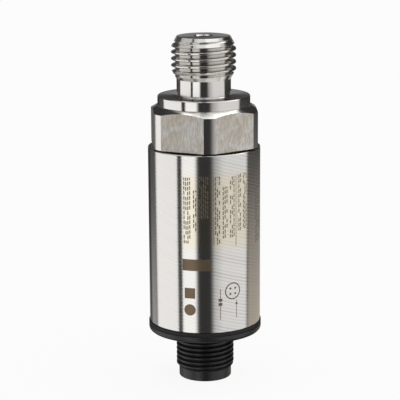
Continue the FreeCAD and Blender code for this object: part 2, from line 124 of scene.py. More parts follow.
class ConnectionSizes(bpy.types.PropertyGroup):
    """Sizes of the turned steel piece: stud, neck, collar, hex and cell pocket."""

    thread_radius: length("Thread radius", "Radius over the crests of the stud thread", 6.5785)
    thread_depth: length("Thread depth", "Depth of the stud thread", 0.856)
    thread_pitch: length("Thread pitch", "Rise of the stud thread in one turn", 1.337)
    thread_start: factor("Thread start", "Part of a turn by which the stud thread is turned", 0.383)
    thread_runout: length("Thread run-out", "Height over which the thread runs out at the neck", 1.9)
    end_inset: length("End inset", "How much narrower the end of the stud is", 1.13)
    end_taper: length("End taper", "Length of the taper at the end of the stud", 2.1)
    neck_radius: length("Neck radius", "Radius of the neck under the thread", 5.525)
    neck_bottom: length("Neck bottom", "Height of the sealing face round the neck", 59.55)
    neck_top: length("Neck top", "Height at which the thread starts", 62.9)
    neck_fillet: length("Neck fillet", "Fillet at the foot of the neck", 0.3)
    collar_radius: length("Collar radius", "Radius of the sealing collar", 9.45)
    collar_chamfer: length("Collar chamfer", "Broken edge of the collar", 0.15)
    hex_top: length("Hex top", "Height of the upper face of the hex", 57.55)
    hex_bottom: length("Hex bottom", "Height of the lower face of the hex", 49.4)
    hex_flat: length("Hex flat", "Distance of a flat from the axis", 10.5)
    hex_corner: length("Hex corner", "Turned radius of the hex corners", 11.5)
    hex_face: length("Hex face", "Radius at which the chamfer of the hex starts", 9.72)
    hex_chamfer: angle("Hex chamfer", "Slope of the chamfer on the hex", 30)
    hex_turn: angle("Hex turn", "Turn of the front corner away from the front", 5.4)
    shoulder_radius: length("Shoulder radius", "Radius of the relief under the hex", 10.2)
    weld_radius: length("Weld radius", "Radius of the skirt inside the sleeve", 10.48)
    pocket_radius: length("Pocket radius", "Radius of the pocket for the cell", 9.05)
    pocket_roof: length("Pocket roof", "Height of the roof of the pocket", 53.6)
    pocket_chamfer: length("Pocket chamfer", "Chamfer at the mouth of the pocket", 0.3)
    groove_radius: length("Groove radius", "Radius of the snap ring groove", 9.6)
    groove_bottom: length("Groove bottom", "Lower side of the snap ring groove", 44.9)
    groove_top: length("Groove top", "Upper side of the snap ring groove", 45.9)
    seal_inner: length("Seal groove inside", "Inner radius of the seal groove", 5.0)
    seal_outer: length("Seal groove outside", "Outer radius of the seal groove", 7.5)
    seal_top: length("Seal groove top", "Height of the floor of the seal groove", 54.85)
    bore_radius: length("Bore radius", "Radius of the port bore", 1.75)
    bore_chamfer: length("Bore chamfer", "Chamfer at the mouth of the port bore", 0.25)


class SleeveSizes(bpy.types.PropertyGroup):
    """Sizes of the steel sleeve and the gasket under it."""

    bore_radius: length("Bore radius", "Inner radius of the sleeve", 10.5)
    edge_chamfer: length("Edge chamfer", "Broken edge at both ends of the sleeve", 0.15)
    groove_radius: length("Groove radius", "Radius of the groove for the snap bead", 10.75)
    groove_bottom: length("Groove bottom", "Lower side of the bead groove", 13.97)
    groove_top: length("Groove top", "Upper end of the bead groove", 15.27)
    gasket_bore: length("Gasket bore", "Inner radius of the gasket", 10.5)
    gasket_rounding: length("Gasket rounding", "Rounding of the gasket's outer edges", 0.15)


class ConnectorSizes(bpy.types.PropertyGroup):
    """Sizes of the moulded connector."""

    nose_radius: length("Nose radius", "Radius of the plain nose", 5.45)
    nose_rounding: length("Nose rounding", "Rounding of the nose's end", 0.15)
    nose_length: length("Nose length", "Height at which the thread starts", 2.05)
    thread_radius: length("Thread radius", "Radius over the crests of the plug thread", 6.0)
    thread_depth: length("Thread depth", "Depth of the plug thread", 0.52)
    thread_pitch: length("Thread pitch", "Rise of the plug thread in one turn", 1.0)
    thread_start: factor("Thread start", "Part of a turn by which the plug thread is turned", 0.72)
    thread_end: length("Thread end", "Height at which the plug thread ends", 9.3)
    undercut_radius: length("Undercut radius", "Radius of the groove under the flange", 5.35)
    flange_bottom: length("Flange bottom", "Height of the underside of the flange", 10.2)
    flange_fillet: length("Flange fillet", "Rounding of the flange's lower edge", 0.7)
    spigot_radius: length("Spigot radius", "Outer radius of the snap spigot", 10.45)
    spigot_bore: length("Spigot bore", "Inner radius of the snap spigot", 8.6)
    bead_radius: length("Bead radius", "Radius of the snap bead", 10.7)
    bead_bottom: length("Bead bottom", "Lower side of the snap bead", 14.02)
    bead_top: length("Bead top", "Upper end of the snap bead", 15.22)
    seat_radius: length("Seat radius", "Radius of the seat of the contact insert", 5.63)
    seat_bottom: length("Seat bottom", "Height of the seat of the contact insert", 11.5)
    seat_top: length("Seat top", "Height of the floor between the fingers", 13.0)
    socket_radius: length("Socket radius", "Radius of the socket", 4.3)
    socket_chamfer: length("Socket chamfer", "Chamfer at the mouth of the socket", 0.3)
    key_width: length("Key width", "Width of the coding key", 1.2)
    key_height: length("Key height", "How far the coding key stands into the socket", 0.5)
    key_recess: length("Key recess", "Distance of the key from the mouth of the socket", 0.8)
    finger_slots: IntProperty(
        name="Finger slots",
        description="Slots that split the spigot into fingers",
        default=4,
        min=1,
        subtype="UNSIGNED",
    )
    slot_width: length("Slot width", "Width of a slot between two fingers", 1.4)
    slot_floor: length("Slot floor", "Height of the bottom of the slots", 13.8)


class FinishColours(bpy.types.PropertyGroup):
    """Colours of the finishes, as the bare materials look in white light."""

    steel: colour("Steel", "Turned stainless steel", (0.705, 0.688, 0.66))
    milled: colour("Milled steel", "Milled flats of the hex", (0.70, 0.672, 0.628))
    # Weld oxide in the relief under the hex, darkened to near black as painted shade of the gap there
    seam: colour("Weld seam and shade", "Oxide in the relief under the hex", (0.03, 0.026, 0.023))
    mark: colour("Laser mark", "Annealed laser marks on the sleeve", (0.16, 0.092, 0.030))
    heat: colour("Heat tint", "Warm tint of the steel round the marks", (0.72, 0.64, 0.46))
    plastic: colour("Black plastic", "Glass-filled connector plastic", (0.015, 0.015, 0.017))
    rubber: colour("Black rubber", "Gasket and cell seal", (0.014, 0.014, 0.015))
    gold: colour("Gold", "Plated contacts", (0.83, 0.62, 0.26))
    ceramic: colour("Ceramic", "White ceramic of the cell", (0.84, 0.83, 0.79))
    grey: colour("Grey plastic", "Moulded inner pieces", (0.33, 0.34, 0.35))
    spring: colour("Spring steel", "Dark spring steel", (0.30, 0.29, 0.28))
    film: colour("Film", "Amber film of the flexible print", (0.52, 0.24, 0.04))
    copper: colour("Copper", "Copper tracks", (0.75, 0.38, 0.22))
    resist: colour("Solder resist", "Green lacquer on the board", (0.02, 0.14, 0.06))
    chip: colour("Chip", "Black moulding compound", (0.025, 0.025, 0.028))
    capacitor: colour("Capacitor", "Tan ceramic of the capacitors", (0.44, 0.29, 0.17))
    resistor: colour("Resistor", "Dark glaze of the resistors", (0.035, 0.035, 0.045))
    tin: colour("Tin", "Tinned leads and end caps", (0.72, 0.71, 0.69))


class StudioSettings(bpy.types.PropertyGroup):
    """Camera, floor and light."""

    lens: FloatProperty(
        name="Lens", description="Focal length in millimetres", default=142.25, unit="CAMERA"
    )
    distance: length("Camera distance", "Distance of the camera from its target", 326.1)
    pitch: angle("Camera pitch", "How far the camera looks down", 12.95)
    roll: angle("Camera roll", "Roll of the camera about its line of sight", -0.347)
    target_x: length("Target across", "Place of the camera's target along X", -0.899)
    target_z: length("Target height", "Height of the camera's target", 37.56)
    floor_size: length("Floor size", "Width of the floor", 6000)
    floor_tone: colour("Floor", "Pale floor", (0.90, 0.90, 0.90))
    left_panel: level("Left panel", "Brightness of the wide panel on the left", 1.12)
    strip_panel: level("Strip panel", "Brightness of the narrow panel left of the camera", 1.27)
    right_panel: level("Right panel", "Brightness of the panel on the right", 0.94)
    table_light: level("Table", "Brightness of the warm table far behind on the right", 0.52)
    far_light: level("Far light", "Brightness of the table far behind on the left", 0.24)
    back_light: level("Back light", "Brightness of the low strip behind", 0.23)
    under_light: level("Under light", "Brightness of what lies straight below", 0.35)
    top_panel: level("Top panel", "Brightness of the panel overhead", 1.9)
    table_tone: colour("Table tone", "Warm tone of the table behind on the right", (1.0, 0.88, 0.74))
    surround: level("Surround", "Brightness of the room between the panels", 0.04)


# Small helpers for node trees


def feed(target, inputs):
    """Set inputs of a node: a socket is linked, anything else becomes the value."""
    for key, value in inputs.items():
        if isinstance(value, bpy.types.NodeSocket):
            target.id_data.links.new(value, target.inputs[key])
        else:
            target.inputs[key].default_value = value


def node(tree, kind, inputs=None, **settings):
    """Add a node with its settings and inputs."""
    made = tree.nodes.new(kind)
    for key, value in settings.items():
        setattr(made, key, value)
    feed(made, inputs or {})
    return made


def result(tree, kind, inputs=None, **settings):
    """First output of a new node."""
    return node(tree, kind, inputs, **settings).outputs[0]


def calc(operation, *values):
    """One arithmetic step on sockets and numbers, as a socket."""
    tree = next(value.id_data for value in values if isinstance(value, bpy.types.NodeSocket))
    return result(tree, "ShaderNodeMath", dict(enumerate(values)), operation=operation)


def fold(operation, first, *others):
    """Several values joined one after another by the same step."""
    for other in others:
        first = calc(operation, first, other)
    return first


def times(*values):
    return fold("MULTIPLY", *values)


def plus(*values):
    return fold("ADD", *values)


def minus(value, other):
    return calc("SUBTRACT", value, other)


def over(value, other):
    return calc("DIVIDE", value, other)


def apart(value, other):
    """How far two values are apart."""
    return calc("ABSOLUTE", minus(value, other))


def remap(value, low, high, start=0.0, end=1.0, smooth=True):
    """Value carried from one span to another, held at the ends."""
    kind = "SMOOTHSTEP" if smooth else "LINEAR"
    inputs = {"Value": value, "From Min": low, "From Max": high, "To Min": start, "To Max": end}
    return result(value.id_data, "ShaderNodeMapRange", inputs, interpolation_type=kind)


def fall(value, span):
    """One below a span and nought above it."""
    return remap(value, *span, 1.0, 0.0)


def window(value, opening, closing):
    """One between two spans: it rises over the first and falls over the second."""
    return times(remap(value, *opening), fall(value, closing))


def blend(amount, first, second):
    """Colour between two colours."""
    inputs = {0: amount, 6: first, 7: second}
    return node(amount.id_data, "ShaderNodeMix", inputs, data_type="RGBA").outputs[2]


def rgba(value, share=1.0):
    """A colour, or a share of its brightness, for a socket."""
    return (value[0] * share, value[1] * share, value[2] * share, 1.0)


def vector(tree, **parts):
    return result(tree, "ShaderNodeCombineXYZ", parts)


def parts_of(place):
    """X, Y and Z of a vector."""
    return node(place.id_data, "ShaderNodeSeparateXYZ", {0: place}).outputs


# Sockets of the node groups that carry something else than a number
SOCKET_KINDS = {
    "Blank": "NodeSocketGeometry",
    "Threaded": "NodeSocketGeometry",
    "Split": "NodeSocketGeometry",
    "Finish": "NodeSocketMaterial",
    "Flat Finish": "NodeSocketMaterial",
    "Seam Shade Finish": "NodeSocketMaterial",
    "Slots": "NodeSocketInt",
    "Place": "NodeSocketVector",
}


def new_group(name, kind, inputs, outputs):
    """Empty node group with its sockets, what it is given, and its output node."""
    tree = bpy.data.node_groups.new(name, kind)
    for direction, names in (("INPUT", inputs), ("OUTPUT", outputs)):
        for socket_name in names:
            socket_kind = SOCKET_KINDS.get(socket_name, "NodeSocketFloat")
            tree.interface.new_socket(socket_name, in_out=direction, socket_type=socket_kind)
    return tree, tree.nodes.new("NodeGroupInput").outputs, tree.nodes.new("NodeGroupOutput")


# Mesh helpers


def eased(corners, steps=6):
    """Outline of (radius, height, easing) corners with each eased corner turned into an arc."""
    outline = []
    for index, (radius, height, ease) in enumerate(corners):
        here = Vector((radius, height))
        if not ease:
            outline.append((radius, height))
            continue
        back = (Vector(corners[index - 1][:2]) - here).normalized()
        ahead = (Vector(corners[(index + 1) % len(corners)][:2]) - here).normalized()
        half = back.angle(ahead) / 2
        centre = here + (back + ahead).normalized() * (ease / math.sin(half))
        first = here + back * (ease / math.tan(half)) - centre
        last = here + ahead * (ease / math.tan(half)) - centre
        sweep = first.angle_signed(last)
        for step in range(steps + 1):
            turn = -sweep * step / steps
            spoke = Matrix.Rotation(turn, 2) @ first
            outline.append(tuple(centre + spoke))
    return outline


def finely(outline, low, high, least_radius, step):
    """Outline with extra points where a thread will be cut."""
    slack = MM * 1e-3
    fine = []
    for here, after in zip(outline, outline[1:] + outline[:1]):
        fine.append(here)
        lower, upper = sorted((here[1], after[1]))
        cut = max(here[0], after[0]) > least_radius and upper - lower > slack
        if not cut or lower < low - slack or upper > high + slack:
            continue
        parts = math.ceil(math.dist(here, after) / step)
        for part in range(1, parts):
            share = part / parts
            fine.append(tuple(a + (b - a) * share for a, b in zip(here, after)))
    return fine


def turned_mesh(name, rows, angles, finish_of=None):
    """Closed skin about Z. A row is one (radius, height), or a function of the angle that gives it.

    finish_of names the faces, by row and angle, that get another finish.
    """
    made = bmesh.new()
    rings = []
    for row in rows:
        ring = []
        for turn in angles:
            radius, height = row(turn) if callable(row) else row
            ring.append(made.verts.new((radius * math.cos(turn), radius * math.sin(turn), height)))
        rings.append(ring)
    layers = {mark: made.faces.layers.bool.new(mark) for mark in ("milled", "seam")}
    count = len(angles)
    for index, ring in enumerate(rings):
        below = rings[(index + 1) % len(rings)]
        for column in range(count):
            beside = (column + 1) % count
            face = made.faces.new((ring[column], ring[beside], below[beside], below[column]))
            face.smooth = True
            mark = finish_of(index, angles[column]) if finish_of else None
            if mark:
                face[layers[mark]] = True
    bmesh.ops.remove_doubles(made, verts=made.verts, dist=MM * 1e-4)
    bmesh.ops.recalc_face_normals(made, faces=made.faces)
    mesh = bpy.data.meshes.new(name)
    made.to_mesh(mesh)
    made.free()
    return mesh


def even_angles(count):
    return [FULL_TURN * index / count for index in range(count)]


def piece_of(name, mesh):
    piece = bpy.data.objects.new(name, mesh)
    bpy.context.scene.collection.objects.link(piece)
    return piece


def grown(name, mesh, group_name, values):
    """Run a mesh through a geometry node group and keep the result as a plain mesh."""
    tree = stored_group(group_name)
    piece = piece_of(name, mesh)
    modifier = piece.modifiers.new(tree.name, "NODES")
    modifier.node_group = tree
    for item in tree.interface.items_tree:
        if item.item_type == "SOCKET" and item.in_out == "INPUT" and item.name in values:
            modifier[item.identifier] = values[item.name]
    graph = bpy.context.evaluated_depsgraph_get()
    mesh = bpy.data.meshes.new_from_object(
        piece.evaluated_get(graph), preserve_all_data_layers=True, depsgraph=graph
    )
    bpy.data.objects.remove(piece)
    if not mesh.polygons:
        raise RuntimeError(f"{tree.name} gave {name} no faces")
    return mesh


def threaded(name, blank, sizes, ends, form, finishes):
    """Cut the thread that the sizes describe between two heights."""
    values = {
        "Pitch": sizes.thread_pitch,
        "Crest Radius": sizes.thread_radius,
        "Root Radius": sizes.thread_radius - sizes.thread_depth,
        "Lower End": ends[0],
        "Upper End": ends[1],
        "Start": sizes.thread_start,
        **form,
        **dict(zip(("Finish", "Flat Finish", "Seam Shade Finish"), finishes)),
    }
    return grown(name, blank, "Screw thread", values)


def hand_over(piece, node_name):
    """Let a finished piece stand for its solid."""
    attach(piece, BODY)
    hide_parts(node_name)


def build_screw_thread(name):
    """Cuts a right-hand thread into a turned blank: what stands outside the thread's form goes."""
    numbers = ("Pitch", "Crest Radius", "Root Radius", "Lower End", "Upper End", "Start")
    shares = ("Crest Share", "Root Share", "Rounding")
    finishes = ("Finish", "Flat Finish", "Seam Shade Finish")
    tree, given, group_out = new_group(
        name, "GeometryNodeTree", ("Blank", *numbers, *shares, *finishes), ("Threaded",)
    )
    place = parts_of(result(tree, "GeometryNodeInputPosition"))
    across = vector(tree, X=place["X"], Y=place["Y"])
    radius = node(tree, "ShaderNodeVectorMath", {0: across}, operation="LENGTH").outputs["Value"]
    turn = over(calc("ARCTAN2", place["Y"], place["X"]), FULL_TURN)
    rise = minus(over(place["Z"], given["Pitch"]), turn)
    phase = calc("FRACT", plus(rise, given["Start"]))
    from_root = times(apart(phase, 0.5), 2.0)
    flank = minus(minus(1.0, given["Root Share"]), given["Crest Share"])
    climb = over(minus(from_root, given["Root Share"]), flank)
    crest = calc("SMOOTH_MIN", climb, 1.0, given["Rounding"])
    form = calc("SMOOTH_MAX", crest, 0.0, given["Rounding"])
    depth = minus(given["Crest Radius"], given["Root Radius"])
    cut = calc("MULTIPLY_ADD", depth, form, given["Root Radius"])
    scale = over(calc("MINIMUM", radius, cut), radius)
    moved = vector(tree, X=times(place["X"], scale), Y=times(place["Y"], scale), Z=place["Z"])
    outside = calc("GREATER_THAN", radius, given["Root Radius"])
    above = calc("GREATER_THAN", place["Z"], given["Lower End"])
    below = calc("LESS_THAN", place["Z"], given["Upper End"])
    inputs = {"Geometry": given["Blank"], "Selection": times(outside, above, below), "Position": moved}
    shape = result(tree, "GeometryNodeSetPosition", inputs)
    shape = result(tree, "GeometryNodeRealizeInstances", {0: shape})
    shape = result(tree, "GeometryNodeSetMaterial", {"Geometry": shape, "Material": given["Finish"]})
    for attribute, finish in (("milled", "Flat Finish"), ("seam", "Seam Shade Finish")):
        marked = node(
            tree, "GeometryNodeInputNamedAttribute", {"Name": attribute}, data_type="BOOLEAN"
        ).outputs["Attribute"]
        inputs = {"Geometry": shape, "Selection": marked, "Material": given[finish]}
        shape = result(tree, "GeometryNodeSetMaterial", inputs)
    feed(group_out, {"Threaded": shape})
    return tree


def build_snap_fingers(name):
    """Splits a spigot into fingers by slots set round the axis, and adds the key in the socket."""
    slot_inputs = ("Slots", "Slot Width", "Slot Floor", "Slot Reach", "Slot Height")
    key_inputs = ("Key Width", "Key Depth", "Key Length", "Key Place", "Key Middle")
    tree, given, group_out = new_group(
        name, "GeometryNodeTree", ("Blank", *slot_inputs, *key_inputs, "Finish"), ("Split",)
    )
    index = result(tree, "GeometryNodeInputIndex")
    turn = times(plus(index, 0.5), over(FULL_TURN, given["Slots"]))
    middle = over(given["Slot Reach"], 2.0)
    place = vector(
        tree,
        X=times(calc("COSINE", turn), middle),
        Y=times(calc("SINE", turn), middle),
        Z=calc("MULTIPLY_ADD", given["Slot Height"], 0.5, given["Slot Floor"]),
    )
    points = result(tree, "GeometryNodePoints", {"Count": given["Slots"], "Position": place})
    slot_size = vector(tree, X=given["Slot Reach"], Y=given["Slot Width"], Z=given["Slot Height"])
    slot = result(tree, "GeometryNodeMeshCube", {"Size": slot_size})
    inputs = {"Points": points, "Instance": slot, "Rotation": vector(tree, Z=turn)}
    slots = result(tree, "GeometryNodeInstanceOnPoints", inputs)
    cutters = result(tree, "GeometryNodeRealizeInstances", {0: slots})
    inputs = {"Mesh 1": given["Blank"], "Mesh 2": cutters}
    split = result(tree, "GeometryNodeMeshBoolean", inputs, solver="EXACT")
    key_size = vector(tree, X=given["Key Width"], Y=given["Key Depth"], Z=given["Key Length"])
    key_place = vector(tree, Y=given["Key Place"], Z=given["Key Middle"])
    key = result(tree, "GeometryNodeMeshCube", {"Size": key_size})
    key = result(tree, "GeometryNodeTransform", {"Geometry": key, "Translation": key_place})
    keyed = node(tree, "GeometryNodeMeshBoolean", operation="UNION", solver="EXACT")
    for part in (split, key):
        feed(keyed, {"Mesh 2": part})
    shape = result(tree, "GeometryNodeRealizeInstances", {0: keyed.outputs[0]})
    shape = result(tree, "GeometryNodeSetMaterial", {"Geometry": shape, "Material": given["Finish"]})
    feed(group_out, {"Split": shape})
    return tree


# Shared effects for the finishes

# Span of noise values that the finishes use
NOISE_SPAN = (0.3, 0.7)
# Scale of a cloud of tone as a share of the grain's scale
CLOUD_SHARE = 0.07
# Half width of a hatch line and half length of a dash as shares of their pitch, and dashes left out
HATCH_LINE = 0.31
HATCH_FILL = 0.39
HATCH_GAPS = 0.18


def noise_along(value, scale, detail):
    inputs = {"W": value, "Scale": scale, "Detail": detail}
    return result(value.id_data, "ShaderNodeTexNoise", inputs, noise_dimensions="1D")


def build_turning_marks(name):
    """Marks that a lathe tool leaves: one or more even spirals, and an uneven grain along them."""
    tree, given, group_out = new_group(
        name, "ShaderNodeTree", ("Along", "Turn", "Feed", "Starts"), ("Groove", "Grain")
    )
    rows = plus(over(given["Along"], given["Feed"]), times(given["Turn"], given["Starts"]))
    wave = calc("MULTIPLY_ADD", calc("FRACT", rows), 2.0, -1.0)
    ridge = calc("POWER", calc("ABSOLUTE", wave), 2.0)
    strength = remap(noise_along(rows, 0.37, 2.0), *NOISE_SPAN, 0.35, 1.0)
    feed(group_out, {"Groove": times(ridge, strength), "Grain": noise_along(rows, 6.3, 3.0)})
    return tree


def build_moulded_grain(name):
    """Uneven skin of a moulded or ground piece: a soft cloud of tone and a fine grain."""
    tree, given, group_out = new_group(
        name, "ShaderNodeTree", ("Place", "Grain Size"), ("Grain", "Cloud")
    )
    scale = over(1.0, given["Grain Size"])
    for output, size, detail in (("Grain", scale, 3.0), ("Cloud", times(scale, CLOUD_SHARE), 2.0)):
        inputs = {"Vector": given["Place"], "Scale": size, "Detail": detail}
        feed(group_out, {output: result(tree, "ShaderNodeTexNoise", inputs)})
    return tree


def build_metal_ends(name):
    """One where a row of like parts shows metal: further from the nearest middle than its body."""
    tree, given, group_out = new_group(
        name, "ShaderNodeTree", ("Along", "First", "Pitch", "Half Body"), ("Metal",)
    )
    offset = minus(given["Along"], given["First"])
    nearest = times(calc("ROUND", over(offset, given["Pitch"])), given["Pitch"])
    feed(group_out, {"Metal": calc("GREATER_THAN", apart(offset, nearest), given["Half Body"])})
    return tree


def chance_of(tree, **place):
    """A fixed random value for each whole-numbered place."""
    inputs = {"Vector": vector(tree, **place)}
    return node(tree, "ShaderNodeTexWhiteNoise", inputs).outputs["Value"]


def build_mark_block(name):
    """A rectangle on the sleeve, whole or hatched with fine upright lines of short dashes."""
    bounds = ("Arc Middle", "Arc Half", "Height Middle", "Height Half")
    hatching = ("Line Pitch", "Dash", "Hatched", "Seed")
    tree, given, group_out = new_group(
        name, "ShaderNodeTree", ("Arc", "Height", *bounds, *hatching), ("Mark",)
    )
    in_arc = calc("COMPARE", given["Arc"], given["Arc Middle"], given["Arc Half"])
    in_height = calc("COMPARE", given["Height"], given["Height Middle"], given["Height Half"])
    lines = over(given["Arc"], given["Line Pitch"])
    on_line = calc("COMPARE", calc("FRACT", lines), 0.5, HATCH_LINE)
    column = {"Y": calc("FLOOR", lines), "Z": given["Seed"]}
    dashes = plus(over(given["Height"], given["Dash"]), chance_of(tree, X=0.5, **column))
    on_dash = calc("COMPARE", calc("FRACT", dashes), 0.5, HATCH_FILL)
    kept = calc("GREATER_THAN", chance_of(tree, X=calc("FLOOR", dashes), **column), HATCH_GAPS)
    pattern = calc("MAXIMUM", times(on_line, on_dash, kept), minus(1.0, given["Hatched"]))
    feed(group_out, {"Mark": times(in_arc, in_height, pattern)})
    return tree


PANEL_SHAPE = ("From", "From Soft", "To", "To Soft", "Lower Edge", "Lower Soft", "Slant")


def build_studio_panel(name):
    """Light panel seen in one direction: a soft-edged window in azimuth and elevation."""
    tree, given, group_out = new_group(
        name, "ShaderNodeTree", ("Azimuth", "Elevation", *PANEL_SHAPE, "Level"), ("Light",)
    )
    opening = (given["From"], plus(given["From"], given["From Soft"]))
    closing = (given["To"], plus(given["To"], given["To Soft"]))
    tilt = times(minus(given["Azimuth"], given["From"]), given["Slant"])
    edge = plus(given["Lower Edge"], tilt)
    lifted = remap(given["Elevation"], edge, plus(edge, given["Lower Soft"]))
    light = times(window(given["Azimuth"], opening, closing), lifted, given["Level"])
    feed(group_out, {"Light": light})
    return tree


GROUP_BUILDERS = {
    "Screw thread": build_screw_thread,
    "Snap fingers": build_snap_fingers,
    "Turning marks": build_turning_marks,
    "Moulded grain": build_moulded_grain,
    "Metal ends": build_metal_ends,
    "Mark block": build_mark_block,
    "Studio panel": build_studio_panel,
}


def stored_group(name):
    """The node group of that name, built the first time it is asked for."""
    return bpy.data.node_groups.get(name) or GROUP_BUILDERS[name](name)


def effect(tree, name, inputs):
    """Outputs of a shared effect placed in a tree with its own values."""
    return node(tree, "ShaderNodeGroup", inputs, node_tree=stored_group(name)).outputs


# Finishes

# Azimuth at which tool marks are deepest and their painted shade darkest, on the side where the highlight
# shows them, how they fade away from it in radians, and what is left
GROOVE_SHADE_AZIMUTH = 0.50
GROOVE_SHADE_FADE = (0.22, 0.46)
GROOVE_SHADE_LEAST = 0.25

# Marks on the sleeve: middle and half width along the arc, middle and half length up, in millimetres
HATCHED_MARKS = (
    (-3.68, 0.80, 37.9, 6.75),
    (-1.95, 0.50, 37.8, 4.30),
    (-0.05, 0.95, 40.6, 4.30),
    (2.50, 0.72, 37.9, 6.95),
    (4.28, 0.62, 37.4, 5.30),
    (5.73, 0.58, 38.4, 6.25),
    (7.55, 0.50, 39.2, 5.85),
    (8.92, 0.52, 39.3, 5.75),
    (9.68, 0.14, 23.5, 5.30),
    (13.30, 0.45, 37.4, 7.50),
    (14.30, 0.45, 37.4, 7.50),
    (15.30, 0.45, 37.4, 7.50),
)
SOLID_MARKS = (
    (6.67, 0.07, 37.5, 7.20),
    (-1.75, 2.90, 26.70, 1.20),
    (-3.10, 1.10, 20.80, 1.10),
    (3.15, 0.07, 18.40, 3.20),
    (3.15, 0.42, 19.30, 0.30),
    (3.15, 0.42, 18.40, 0.30),
    (6.78, 0.07, 17.10, 1.90),
    (6.78, 0.25, 18.20, 0.22),
)
HATCHED_STRENGTH = 0.76
SOLID_STRENGTH = 0.88
HATCH_PITCH = 0.40
HATCH_DASH = 1.0
DISC_MIDDLE = (-3.10, 17.30)
DISC_RADIUS = 1.20
RING_MIDDLE = (5.90, 20.95)
RING_RADIUS = 1.65
RING_LINE = 0.13
PIN_CIRCLE = 0.80
PIN_DOT = 0.24
TINT_MIDDLE = (3.0, 37.6)
TINT_HALF = 8.2
TINT_INSIDE = 2.4
TINT_OUTSIDE = 0.8
TINT_STRENGTH = 0.52


class Finish:
    """A material in the making: its Principled shader and the piece's own coordinates."""

    def __init__(self, name, **constants):
        self.material = bpy.data.materials.new(name)
        self.material.use_nodes = True
        self.tree = self.material.node_tree
        self.shader = next(item for item in self.tree.nodes if item.type == "BSDF_PRINCIPLED")
        self.place = node(self.tree, "ShaderNodeTexCoord").outputs["Object"]
        self.shade(**constants)

    def shade(self, **inputs):
        """Set inputs of the shader, named with underscores for spaces."""
        feed(self.shader, {key.replace("_", " "): value for key, value in inputs.items()})


def bump(height, distance):
    inputs = {"Height": height, "Distance": distance, "Strength": 1.0}
    return result(height.id_data, "ShaderNodeBump", inputs)


def grain(place, size):
    return effect(place.id_data, "Moulded grain", {"Place": place, "Grain Size": size})


def turned_finish(name, base, pitch, starts, depth, relief, roughness):
    """Lathe-turned metal with tool marks about Z, which smear what it mirrors along Z; its colour darkens
    in the grooves as painted shade, most on the side where the highlight shows them.
    """
    finish = Finish(name, Metallic=1.0, Anisotropic=0.75, Anisotropic_Rotation=0.25)
    place = parts_of(finish.place)
    finish.height = place["Z"]
    finish.azimuth = calc("ARCTAN2", place["X"], times(place["Y"], -1.0))
    inputs = {"Along": place["Z"], "Turn": over(finish.azimuth, FULL_TURN), "Feed": pitch, "Starts": starts}
    marks = effect(finish.tree, "Turning marks", inputs)
    away = apart(finish.azimuth, GROOVE_SHADE_AZIMUTH)
    groove_and_shade = times(marks["Groove"], remap(away, *GROOVE_SHADE_FADE, 1.0, GROOVE_SHADE_LEAST))
    # Painted shade: the colour darkens by depth in the tool-mark grooves, most on the highlight's side
    finish.tone = blend(groove_and_shade, rgba(base), rgba(base, 1 - depth))
    finish.rough = remap(marks["Grain"], 0.25, 0.75, roughness * 0.8, roughness * 1.25)
    finish.shade(
        Base_Color=finish.tone,
        Roughness=finish.rough,
        Tangent=result(finish.tree, "ShaderNodeTangent", direction_type="RADIAL", axis="Z"),
        Normal=bump(groove_and_shade, relief),
    )
    return finish


def milled_finish(name, base):
    """Milled flats: short upright streaks of the cutter, tinted in soft patches."""
    finish = Finish(name, Metallic=1.0)
    inputs = {"Vector": finish.place, "Scale": (1.0, 1.0, 0.28)}
    marks = grain(result(finish.tree, "ShaderNodeMapping", inputs), 0.30 * MM)
    patches = grain(finish.place, 0.20 * MM)
    streak = remap(marks["Grain"], 0.38, 0.62)
    tones = []
    for tint in ((1.0, 1.0, 1.0), (0.90, 0.85, 0.79)):
        bright = [channel * share for channel, share in zip(base, tint)]
        tones.append(blend(streak, rgba(bright, 0.79), rgba(bright)))
    finish.shade(
        Base_Color=blend(remap(patches["Cloud"], 0.38, 0.64), *tones),
        Roughness=remap(patches["Grain"], *NOISE_SPAN, 0.40, 0.50),
        Normal=bump(marks["Grain"], 0.010 * MM),
    )
    return finish


def mark_mask(arc, height):
    """How strongly each place is marked: by blocks, a disc, and a ring with a dot for each pin."""
    marks = []
    for hatched, blocks, strength in (
        (1.0, HATCHED_MARKS, HATCHED_STRENGTH),
        (0.0, SOLID_MARKS, SOLID_STRENGTH),
    ):
        for seed, (arc_middle, arc_half, height_middle, height_half) in enumerate(blocks):
            inputs = {
                "Arc": arc,
                "Height": height,
                "Arc Middle": arc_middle,
                "Arc Half": arc_half,
                "Height Middle": height_middle,
                "Height Half": height_half,
                "Line Pitch": HATCH_PITCH,
                "Dash": HATCH_DASH,
                "Hatched": hatched,
                "Seed": seed,
            }
            marks.append(times(effect(arc.id_data, "Mark block", inputs)["Mark"], strength))
    rings = [(*RING_MIDDLE, RING_RADIUS, RING_LINE), (*DISC_MIDDLE, 0.0, DISC_RADIUS)]
    for quarter in range(4):
        spoke = math.radians(45 + 90 * quarter)
        across = RING_MIDDLE[0] + PIN_CIRCLE * math.cos(spoke)
        upward = RING_MIDDLE[1] + PIN_CIRCLE * math.sin(spoke)
        rings.append((across, upward, 0.0, PIN_DOT))
    for arc_middle, height_middle, radius, half_line in rings:
        sideways = calc("POWER", minus(arc, arc_middle), 2.0)
        upwards = calc("POWER", minus(height, height_middle), 2.0)
        away = calc("SQRT", plus(sideways, upwards))
        marks.append(times(calc("COMPARE", away, radius, half_line), SOLID_STRENGTH))
    return fold("MAXIMUM", *marks)


